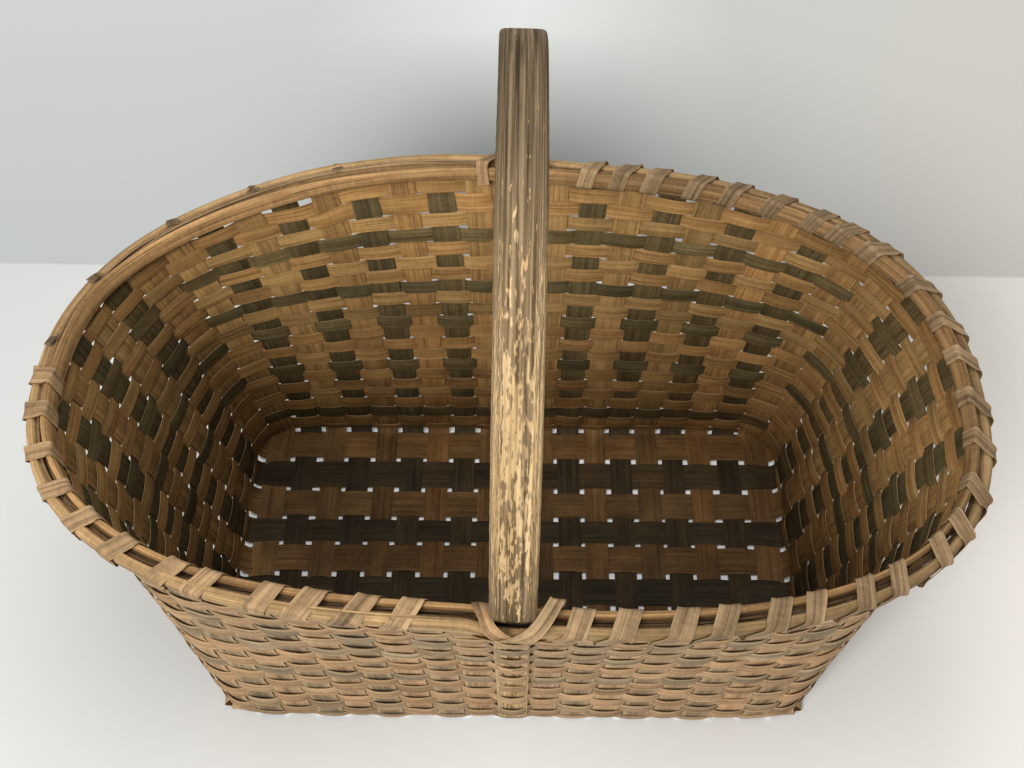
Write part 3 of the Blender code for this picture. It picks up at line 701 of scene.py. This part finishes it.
def make_hoop(name, outward):
    rng = draws_for(name)
    count = UPRIGHTS * HOOP_STEPS
    turn = np.arange(count) / HOOP_STEPS
    here, across, rise, out = rim_frame(turn)
    height = np.full(count, OUTER_HEIGHT) if outward else round_rim(turn, INNER_HEIGHTS)
    a, b = rounded_profile(14, 3.2)
    depth = 1.0 + 0.09 * wander(count, 30, rng, True)
    tall = 1.0 + 0.045 * wander(count, 26, rng, True)
    drift = 0.0005 * wander(count, 34, rng, True) - height / 2.0
    if outward:
        drift += round_rim(turn, OUTER_LEVELS)
        thick = OUTER_HOOP * depth
        away = OUTER_FACE + OUTER_HOOP / 2.0 + handle_bulge(turn) + round_rim(turn, OUTER_SPRING)
    else:
        thick = -INNER_HOOP * depth
        away = np.full(count, -INNER_FACE - INNER_HOOP / 2.0)
    middle = here + out * away[:, None] + rise * drift[:, None]
    rings = rings_round(middle, out, thick[:, None] * a, rise, (height * tall)[:, None] * b)
    around = np.linspace(0.0, HOOP_GIRTH, len(a) + 1)
    tone = (rng.uniform(-0.2, 0.2) + 0.5 * wander(count, 18, rng, True))[:, None]
    values = {"tone": tone, "outer": 1.0 if outward else 0.55}
    loft(name, rings, True, lengths_along(middle, True), around, values, RIM_WOOD, [name])


def make_strand(name, first, last, away, drop, radius, nodes):
    """A thin strand laid along the slot between the hoops, out from the wall's middle by away and
    below the rim by drop; it has risen where the outer hoop has sprung away."""
    rng = draws_for(name)
    uprights = int(last - first)
    count = int((last - first) * HOOP_STEPS)
    turn = np.linspace(first, last, count)
    here, across, rise, out = rim_frame(turn)
    gap = round_rim(turn, OUTER_SPRING)
    spring = gap / max(OUTER_SPRING)
    side = away + 0.0006 * wander(count, uprights, rng) + gap * 0.6
    low = drop + 0.0007 * wander(count, uprights, rng)
    low = low * (1.0 - 0.80 * spring) - spring * 0.0034
    middle = here + out * (side + handle_bulge(turn) * 0.5)[:, None] - rise * low[:, None]
    angle = 2.0 * math.pi * np.arange(8) / 8
    size = (radius * (1.0 + 0.15 * wander(count, uprights * 2, rng)))[:, None]
    rings = rings_round(middle, out, size * np.cos(angle), rise, size * 0.8 * np.sin(angle))
    around = np.linspace(0.0, 2.0 * math.pi * radius, 9)
    tone = (0.5 * wander(count, 14, rng) - 0.15)[:, None]
    # The deeper a strand lies in the slot the darker it is: painted shade over a little dirt, less where the
    # slot has opened
    grime_and_shade = 0.2 + 85.0 * drop * (1.0 - spring)[:, None]
    values = {"tone": tone, "outer": 0.7, "grime_and_shade": grime_and_shade}
    loft(name, rings, False, lengths_along(middle), around, values, LASHING, nodes)


def wrap_point(turn, corner, layer):
    """A place on the loop round both hoops: corner counts 0 outer bottom, 1 outer top, 2 inner top,
    3 inner bottom, and between whole numbers runs straight from one corner to the next."""
    here, across, rise, out = rim_frame(turn)
    clear = WRAP_CLEARANCE + layer
    outer = OUTER_FACE + OUTER_HOOP + clear + handle_bulge(turn) + round_rim(turn, OUTER_SPRING)
    inner = -(INNER_FACE + INNER_HOOP + clear)
    corner = np.mod(corner, 4.0)
    away = np.interp(corner, range(5), [1.0, 1.0, 0.0, 0.0, 1.0])
    high = np.interp(corner, range(5), [0.0, 1.0, 1.0, 0.0, 0.0])
    offset = inner + (outer - inner) * away
    height = round_rim(turn, INNER_HEIGHTS) * (1.0 - away) + OUTER_HEIGHT * away
    level = -height - clear + (height + 2.0 * clear) * high + round_rim(turn, OUTER_LEVELS) * away
    return here + out * offset[:, None] + rise * level[:, None], across


def ribbon(middle, across, turn, sigma):
    """Centre line, side and outward directions of a flat strip laid along places round the hoops."""
    path = soften(np.column_stack([middle, across, turn]), 0.0012, sigma)
    centre, across, turn = path[:, :3], path[:, 3:6], path[:, 6]
    ahead = unit(np.gradient(centre, axis=0))
    here, around, rise, out = rim_frame(turn)
    heart = here - rise * (OUTER_HEIGHT / 2.0) + out * (handle_bulge(turn) / 2.0)[:, None]
    outward = centre - heart
    outward -= across * np.sum(outward * across, axis=1)[:, None]
    side = unit(across - ahead * np.sum(across * ahead, axis=1)[:, None])
    out = unit(np.cross(side, ahead))
    out *= np.sign(np.sum(out * outward, axis=1))[:, None]
    return centre, side, out


def make_band(name, line, width, crown, nodes, tone):
    """A strip of lashing along the line that ribbon gives, cupped by its crown."""
    centre, side, out = line
    make_strip(name, centre, side, out, width, np.full(len(centre), crown), WRAP_THICKNESS, False, LASHING,
               nodes, tone)


# How much further apart the lashing's turns lie at the two ends, and over how many uprights
END_SPREAD, END_REACH = 0.28, 4.5


def make_spiral(name, first, last, wraps):
    """A flat splint wound round both hoops, slanting along the rim as it crosses their tops."""
    rng = draws_for(name)
    places = np.linspace(first, last, 400)
    spacing = 1.0 + END_SPREAD * np.exp(-((places % BACK - BACK / 2.0) / END_REACH) ** 2)
    share = np.concatenate([[0.0], np.cumsum(1.0 / spacing[1:])])
    starts = (np.arange(wraps + 1) + rng.uniform(-0.20, 0.20, wraps + 1)) / wraps
    starts = np.interp(starts, share / share[-1], places)
    turns, corners = [], []
    for wrap in range(wraps):
        begin, slant = starts[wrap], rng.uniform(0.42, 0.62)
        stops = [begin, begin + 0.5 * slant, begin + slant, begin + slant + 0.1, starts[wrap + 1]]
        for part in range(4):
            for f in np.arange(8) / 8.0:
                slide = f if part < 3 else min(1.0, max(0.0, (f - 0.25) / 0.45))
                turns.append(stops[part] + (stops[part + 1] - stops[part]) * slide)
                corners.append(4.0 * wrap + part + f)
    turns = np.array(turns)
    line = ribbon(*wrap_point(turns, np.array(corners), 0.0003), turns, 0.0021)
    count = len(line[0])
    width = WRAP_WIDTH * (1.0 + 0.13 * wander(count, wraps, rng) + 0.05 * wander(count, wraps * 6, rng))
    tone = 0.45 * wander(count, wraps, rng) + 0.3 * wander(count, wraps * 4, rng)
    make_band(name, line, width, 8.0, [name], tone)


def make_scraps():
    """Short ends of the lost lashing that still cling to the hoops at the back left."""
    for number, turn in enumerate(SCRAP_TURNS, 1):
        name = "lashing_scrap_%d" % number
        rng = draws_for(name)
        corners = np.linspace(1.14, 1.58 + rng.uniform(-0.08, 0.08), 12)
        turns = turn + np.linspace(0.0, 0.10, 12)
        line = ribbon(*wrap_point(turns, corners, 0.0001), turns, 0.0012)
        count = len(line[0])
        width = SCRAP_WIDTH * (1.0 + 0.18 * wander(count, 3, rng))
        make_band(name, line, width, 12.0, [], np.full(count, -2.1))


# Paths of the two bands that cross at the handle's foot: place along the rim in uprights, share of
# the way from the inner to the outer hoop's face, and height above the rim
CROSS_PATHS = (
    ((-0.57, -0.05, -0.0120), (-0.62, -0.06, -0.0010), (-0.58, 0.10, 0.0045), (-0.48, 0.55, 0.0090),
     (-0.37, 0.95, 0.0100), (-0.20, 1.03, 0.0080), (0.0, 1.05, 0.0045), (0.28, 1.04, -0.0005),
     (0.50, 1.02, -0.0050), (0.66, 0.90, -0.0115), (0.66, 0.50, -0.0150)),
    ((0.86, -0.06, -0.0120), (0.90, -0.14, 0.0090), (0.86, -0.08, 0.0210), (0.78, 0.18, 0.0175),
     (0.62, 0.62, 0.0125), (0.42, 1.00, 0.0110), (0.18, 1.07, 0.0075), (-0.06, 1.09, 0.0040),
     (-0.34, 1.07, -0.0005), (-0.54, 1.03, -0.0050), (-0.66, 0.90, -0.0115), (-0.66, 0.50, -0.0150)))


def make_cross(name, upright, loop):
    """Two crossing bands that tie the hoops to the handle's foot; no band stands higher than the loop."""
    inner = -INNER_FACE - INNER_HOOP
    for number, stops in enumerate(CROSS_PATHS):
        rng = draws_for(name, number)
        place = np.linspace(0.0, len(stops) - 1.0, 12 * len(stops))
        turn, away, high = (np.interp(place, range(len(stops)), column) for column in zip(*stops))
        turn, high = turn + upright, np.minimum(high, loop)
        here, across, rise, out = rim_frame(turn)
        reach = inner + (OUTER_FACE + OUTER_HOOP + handle_bulge(turn) - inner) * away
        line = ribbon(here + out * reach[:, None] + rise * high[:, None], across, turn, 0.0028)
        count = len(line[0])
        width = CROSS_WIDTH * (1.0 + 0.10 * wander(count, 9, rng))
        tone = 0.3 + 0.5 * wander(count, 8, rng)
        make_band(name if number == 0 else name + "_over", line, width, 20.0, [name], tone)


def make_rim():
    make_hoop("inner_rim", False)
    make_hoop("outer_rim", True)
    make_strand("rim_filler_right", 0.7, BACK - 0.7, 0.0012, 0.0064, 0.0010, ["rim_filler_right"])
    make_strand("rim_filler_left", BACK + 0.7, UPRIGHTS - 0.7, 0.0012, 0.0036, 0.0010, ["rim_filler_left"])
    make_strand("rim_strand_right", 0.8, BACK - 0.9, -0.0008, 0.0080, 0.0009, [])
    make_strand("rim_strand_left", BACK + 0.8, UPRIGHTS - 0.9, -0.0008, 0.0052, 0.0009, [])
    make_spiral("rim_lashing_right", 1.0, BACK - 1.2, 25)
    make_spiral("rim_lashing_left", BACK + 13.9, UPRIGHTS - 1.3, 12)
    make_scraps()
    make_cross("front_cross_lashing", 0, 0.0210)
    make_cross("back_cross_lashing", BACK, 0.0050)


# Handle

def handle_material():
    """Weathered bail: grey-brown skin with cracks, worn through to bright tan wood on its front, which is
    partly painted light; dirt and painted shade darken it between the hoops.
    """
    material, tree, shader = new_material("handle_oak_worn")
    fine = grain_noise(tree, 9.0, 1900.0, 3.0, 0.65)
    broad = grain_noise(tree, 7.0, 300.0, 3.0)
    region = grain_noise(tree, 12.0, 260.0, 2.0, 0.5)
    streak = grain_noise(tree, 66.0, 1400.0, 2.0, 0.5)
    chips = grain_noise(tree, 180.0, 2600.0, 2.0, 0.5)
    crack = grain_noise(tree, 6.0, 620.0, 3.0, 0.6)
    worn = read_value(tree, "worn")
    skin = ramp(tree, fine, [(0.38, (0.042, 0.028, 0.013)), (0.5, (0.110, 0.076, 0.040)),
                             (0.62, (0.215, 0.153, 0.088))])
    tanned = ramp(tree, fine, [(0.38, (0.120, 0.074, 0.034)), (0.5, (0.25, 0.166, 0.083)),
                               (0.62, (0.37, 0.265, 0.150))])
    # Worn skin turns lighter tan: wear, and on the front painted light
    skin = blend_colour(tree, worn, skin, tanned)
    bare = ramp(tree, weighted_sum(tree, (fine, 0.6), (broad, 0.4)),
                [(0.38, (0.27, 0.165, 0.070)), (0.48, (0.49, 0.325, 0.158)), (0.60, (0.66, 0.47, 0.252))])
    patch = weighted_sum(tree, (region, 0.14), (streak, 0.42), (chips, 0.44), (worn, 0.22))
    mask = span(tree, patch, 0.655, 0.69)
    colour = blend_colour(tree, mask, skin, bare)
    dark = span(tree, crack, 0.60, 0.655)
    colour = blend_colour(tree, times(tree, dark, 0.7), colour, (0.060, 0.038, 0.019))
    # Dirt and painted shade where the bail goes down between the hoops
    colour = blend_colour(tree, read_value(tree, "grime_and_shade"), colour, (0.030, 0.020, 0.010))
    height = weighted_sum(tree, (fine, 0.5), (dark, -0.8), (mask, -0.35))
    finish_wood(tree, shader, colour, span(tree, mask, 0.0, 1.0, 0.72, 0.52), height, 0.7, 0.0007)
    return material


def tail_path(upright):
    """Centre line of a tail on the outside of the wall, from its low end to the rim."""
    up = np.linspace(0.03, 1.0, TAIL_STEPS)
    here, across, rise, out, bend = wall_frame(upright, up)
    lie = 0.0009 + tail_thickness(up) / 2.0
    return here + out * lie[:, None]


# How far the bail's skin is worn through, by height above its foot; the bright band this gives is partly
# painted light
WEAR_HEIGHTS = (0.0, 0.015, 0.040, 0.060, 0.115, 0.130, 0.165, 0.182, 0.190)
WEAR_SHARES = (0.35, 0.55, 0.72, 0.86, 0.88, 0.74, 0.56, 0.24, 0.0)


def make_handle():
    rng = np.random.default_rng(12)
    front, back = tail_path(0), tail_path(BACK)
    half_span = (abs(front[-1][1]) + abs(back[-1][1])) / 2.0
    foot = RIM_HEIGHT + SHOULDER
    rise = HANDLE_TOP - HANDLE_THICKNESS / 2.0 - foot
    angle = np.linspace(0.0, math.pi, ARCH_STEPS)
    y = -half_span * signed_power(np.cos(angle), 2.0 / HANDLE_EXPONENT)
    share = np.abs(np.sin(angle)) ** (2.0 / HANDLE_EXPONENT)
    settled = round_rim(np.where(angle < math.pi / 2.0, 0.0, BACK), WALL_LEVELS)
    arch = np.column_stack([HANDLE_LEAN * share + HANDLE_SHIFT, y - RIM_FORWARD,
                            foot + rise * share + settled * (1.0 - share)])
    path = soften(np.concatenate([front, arch, back[::-1]]), 0.0022, 0.0035)
    count, height = len(path), path[:, 2]
    across = np.tile([1.0, 0.0, 0.0], (count, 1))
    out = unit(np.cross(unit(np.gradient(path, axis=0)), across))
    over = ease(limited((height - foot + THICKEN_FROM) / THICKEN_LENGTH))
    grip = 1.0 - (1.0 - limited((height - foot + WIDEN_FROM) / WIDEN_LENGTH)) ** 2.4
    tail_share = limited(height / RIM_HEIGHT)
    on_arch = height > foot - NECK_LENGTH
    full = HANDLE_FOOT_WIDTH + (HANDLE_WIDTH - HANDLE_FOOT_WIDTH) * limited((height - foot) / rise)
    width = np.where(on_arch, NECK_WIDTH + (full - NECK_WIDTH) * grip, TAIL_WIDTH + TAIL_SPREAD * tail_share)
    thick = np.where(on_arch, NECK_THICKNESS + (HANDLE_THICKNESS - NECK_THICKNESS) * over,
                     tail_thickness(tail_share))
    width = width * (1.0 + 0.02 * wander(count, 14, rng) + 0.006 * wander(count, 90, rng))
    thick = thick * (1.0 + 0.03 * wander(count, 12, rng))
    a, b = rounded_profile(20, 7.0)
    bumps = 1.0 + 0.006 * rng.uniform(-1.0, 1.0, (count, 20))
    rings = rings_round(path, across, b * width[:, None] * bumps, out, a * thick[:, None] * bumps)
    around = np.linspace(0.0, HANDLE_GIRTH, len(a) + 1)
    worn = np.interp(height - foot, WEAR_HEIGHTS, WEAR_SHARES)
    # The back leg is less worn than the front: painted light on the front, which faces the lamps
    worn = worn * np.where(path[:, 1] < 0.0, 1.0, 0.7)
    worn = np.where(height < RIM_HEIGHT - BARE_TAIL, 1.0, worn)
    # Dirt and painted shade on the part between the hoops
    grime_and_shade = limited((foot - height - DIRT_AND_SHADE_GAP) / DIRT_AND_SHADE_FADE)
    grime_and_shade = grime_and_shade * limited((height - RIM_HEIGHT + DIRT_AND_SHADE_END) / DIRT_AND_SHADE_END_FADE)
    values = {"worn": worn[:, None], "grime_and_shade": grime_and_shade[:, None]}
    wood = handle_material(), "handle_oak"
    loft("bail_handle", rings, False, lengths_along(path), around, values, wood, ["bail_handle"])


# Table, lights and camera

# Where the far sheet starts, how much its edge slants, how far the colours reach to each side, and
# where the shade behind the handle lies along X and how wide it is
SHEET_EDGE, SHEET_SLANT, SIDE_REACH, SHADE_PLACE, SHADE_WIDTH = 0.3005, 0.0097, 0.45, -0.012, 0.147

# Colours from left to right, of the sheet low down and higher up, and of the table; they hold painted light
# and shade, and the higher sheet and the table are brightest in the middle
FAR_COLOURS = ((0.0, (0.421, 0.442, 0.445)), (0.5, (0.450, 0.460, 0.452)), (1.0, (0.486, 0.462, 0.419)))
HIGHER_COLOURS = (
    (0.0, (0.523, 0.530, 0.528)), (0.26, (0.515, 0.526, 0.522)), (0.5, (0.655, 0.670, 0.652)),
    (0.74, (0.520, 0.520, 0.500)), (1.0, (0.540, 0.528, 0.492)))
NEAR_COLOURS = (
    (0.0, (0.585, 0.592, 0.580)), (0.22, (0.630, 0.640, 0.632)), (0.5, (0.79, 0.815, 0.83)),
    (0.8, (0.625, 0.610, 0.585)), (1.0, (0.705, 0.662, 0.608)))

# Shares of the table's colour from the sheet's edge forward: painted light and shade along the table
NEARER_SHARES = ((0.0, (0.92,) * 3), (0.38, (1.04,) * 3), (0.70, (0.74,) * 3), (1.0, (0.64,) * 3))


def stage_material():
    """Pale table in front and a greyer sheet behind it, with painted light and shade: brighter in the
    middle, and a soft painted shadow behind the handle.
    """
    material, tree, shader = new_material("stage_pale", 0.1)
    place = make_node(tree, "ShaderNodeTexCoord").outputs["Object"]
    parts = make_node(tree, "ShaderNodeSeparateXYZ", [(0, place)]).outputs
    x, y = parts[0], parts[1]
    behind = span(tree, weighted_sum(tree, (y, 1.0), (x, SHEET_SLANT)), SHEET_EDGE, SHEET_EDGE + 0.0025)
    side = span(tree, x, -SIDE_REACH, SIDE_REACH)
    # The sheet and the table take painted light and shade from these colour ramps
    far = ramp(tree, side, FAR_COLOURS)
    far = blend_colour(tree, span(tree, y, 0.30, 0.70), far, ramp(tree, side, HIGHER_COLOURS))
    # Painted shadow of the basket on the sheet, behind the handle
    spread = maths(tree, "DIVIDE", maths(tree, "SUBTRACT", x, SHADE_PLACE), SHADE_WIDTH)
    spread = maths(tree, "EXPONENT", times(tree, times(tree, spread, spread), -1.0))
    shade = times(tree, spread, span(tree, y, 0.43, 0.645, 0.64, 0.0))
    shade = times(tree, shade, span(tree, y, 0.33, 0.42))
    far = dim(tree, far, maths(tree, "SUBTRACT", 1.0, shade))
    near = tint(tree, ramp(tree, side, NEAR_COLOURS), ramp(tree, span(tree, y, 0.30, -0.90), NEARER_SHARES))
    link(tree, blend_colour(tree, behind, near, far), shader.inputs["Base Color"])
    shader.inputs["Roughness"].default_value = 0.9
    return material


def make_stage():
    mesh = bpy.data.meshes.new("table")
    mesh.from_pydata([(-9, -9, 0), (9, -9, 0), (9, 9, 0), (-9, 9, 0)], [], [(0, 1, 2, 3)])
    mesh.materials.append(stage_material())
    table = new_object("table", mesh)


def placed(right, up, forward, place):
    """Matrix of an object at a place that looks along forward."""
    rows = [(right[axis], up[axis], -forward[axis], place[axis]) for axis in range(3)]
    return Matrix(rows + [(0.0, 0.0, 0.0, 1.0)])


def aim(place, target):
    """Matrix of an object at a place that looks at the target."""
    forward = np.array(target) - np.array(place)
    forward = forward / np.linalg.norm(forward)
    right = np.cross(forward, [0.0, 0.0, 1.0])
    right = right / np.linalg.norm(right)
    return placed(right, np.cross(right, forward), forward, place)


def make_lamp(name, place, target, size, power, colour):
    lamp = bpy.data.lights.new(name, "AREA")
    lamp.shape = "RECTANGLE"
    lamp.size, lamp.size_y = size
    lamp.energy = power
    lamp.color = colour
    new_object(name, lamp).matrix_world = aim(place, target)


# Lamps: name, place, target, size, power and colour; then the light of the room
LAMPS = (
    ("key", (-2.0, -4.2, 3.6), (0.0, 0.0, 0.1), (2.6, 2.2), 330.0, (1.0, 0.985, 0.95)),
    ("top", (0.3, 0.3, 3.6), (0.0, 0.0, 0.0), (3.0, 3.0), 70.0, (1.0, 1.0, 1.0)))
ROOM_COLOUR, ROOM_STRENGTH = (0.97, 0.985, 1.0, 1.0), 0.38


def make_lights():
    for lamp in LAMPS:
        make_lamp(*lamp)
    world = bpy.context.scene.world = bpy.data.worlds.new("room")
    world.use_nodes = True
    shade = world.node_tree.nodes["Background"]
    shade.inputs["Color"].default_value = ROOM_COLOUR
    shade.inputs["Strength"].default_value = ROOM_STRENGTH


# The photograph's camera, solved from the basket's outlines; its focal length is in pixels
FOCAL, PHOTO_WIDTH, SENSOR_WIDTH = 1500.0, 1024.0, 36.0
PITCH, YAW, ROLL = math.radians(48.103), math.radians(-0.803), math.radians(0.139)
CAMERA_PLACE = (0.00704, -0.61522, 0.87861)


def make_camera():
    forward = np.array([math.sin(YAW) * math.cos(PITCH), math.cos(YAW) * math.cos(PITCH), -math.sin(PITCH)])
    right = np.array([math.cos(YAW), -math.sin(YAW), 0.0])
    down = np.cross(forward, right)
    right, down = (math.cos(ROLL) * right + math.sin(ROLL) * down,
                   math.cos(ROLL) * down - math.sin(ROLL) * right)
    data = bpy.data.cameras.new("camera")
    data.sensor_width = SENSOR_WIDTH
    data.lens = FOCAL * SENSOR_WIDTH / PHOTO_WIDTH
    data.clip_start, data.clip_end = 0.02, 50.0
    camera = new_object("camera", data)
    camera.matrix_world = placed(right, -down, forward, CAMERA_PLACE)
    bpy.context.scene.camera = camera


bpy.context.scene.view_settings.view_transform = "Standard"
make_camera()
make_stage()
make_lights()
make_floor_and_uprights()
for weaver_row in range(ROWS + 1):
    make_weaver(weaver_row)
make_rim()
make_handle()
bpy.context.view_layer.update()
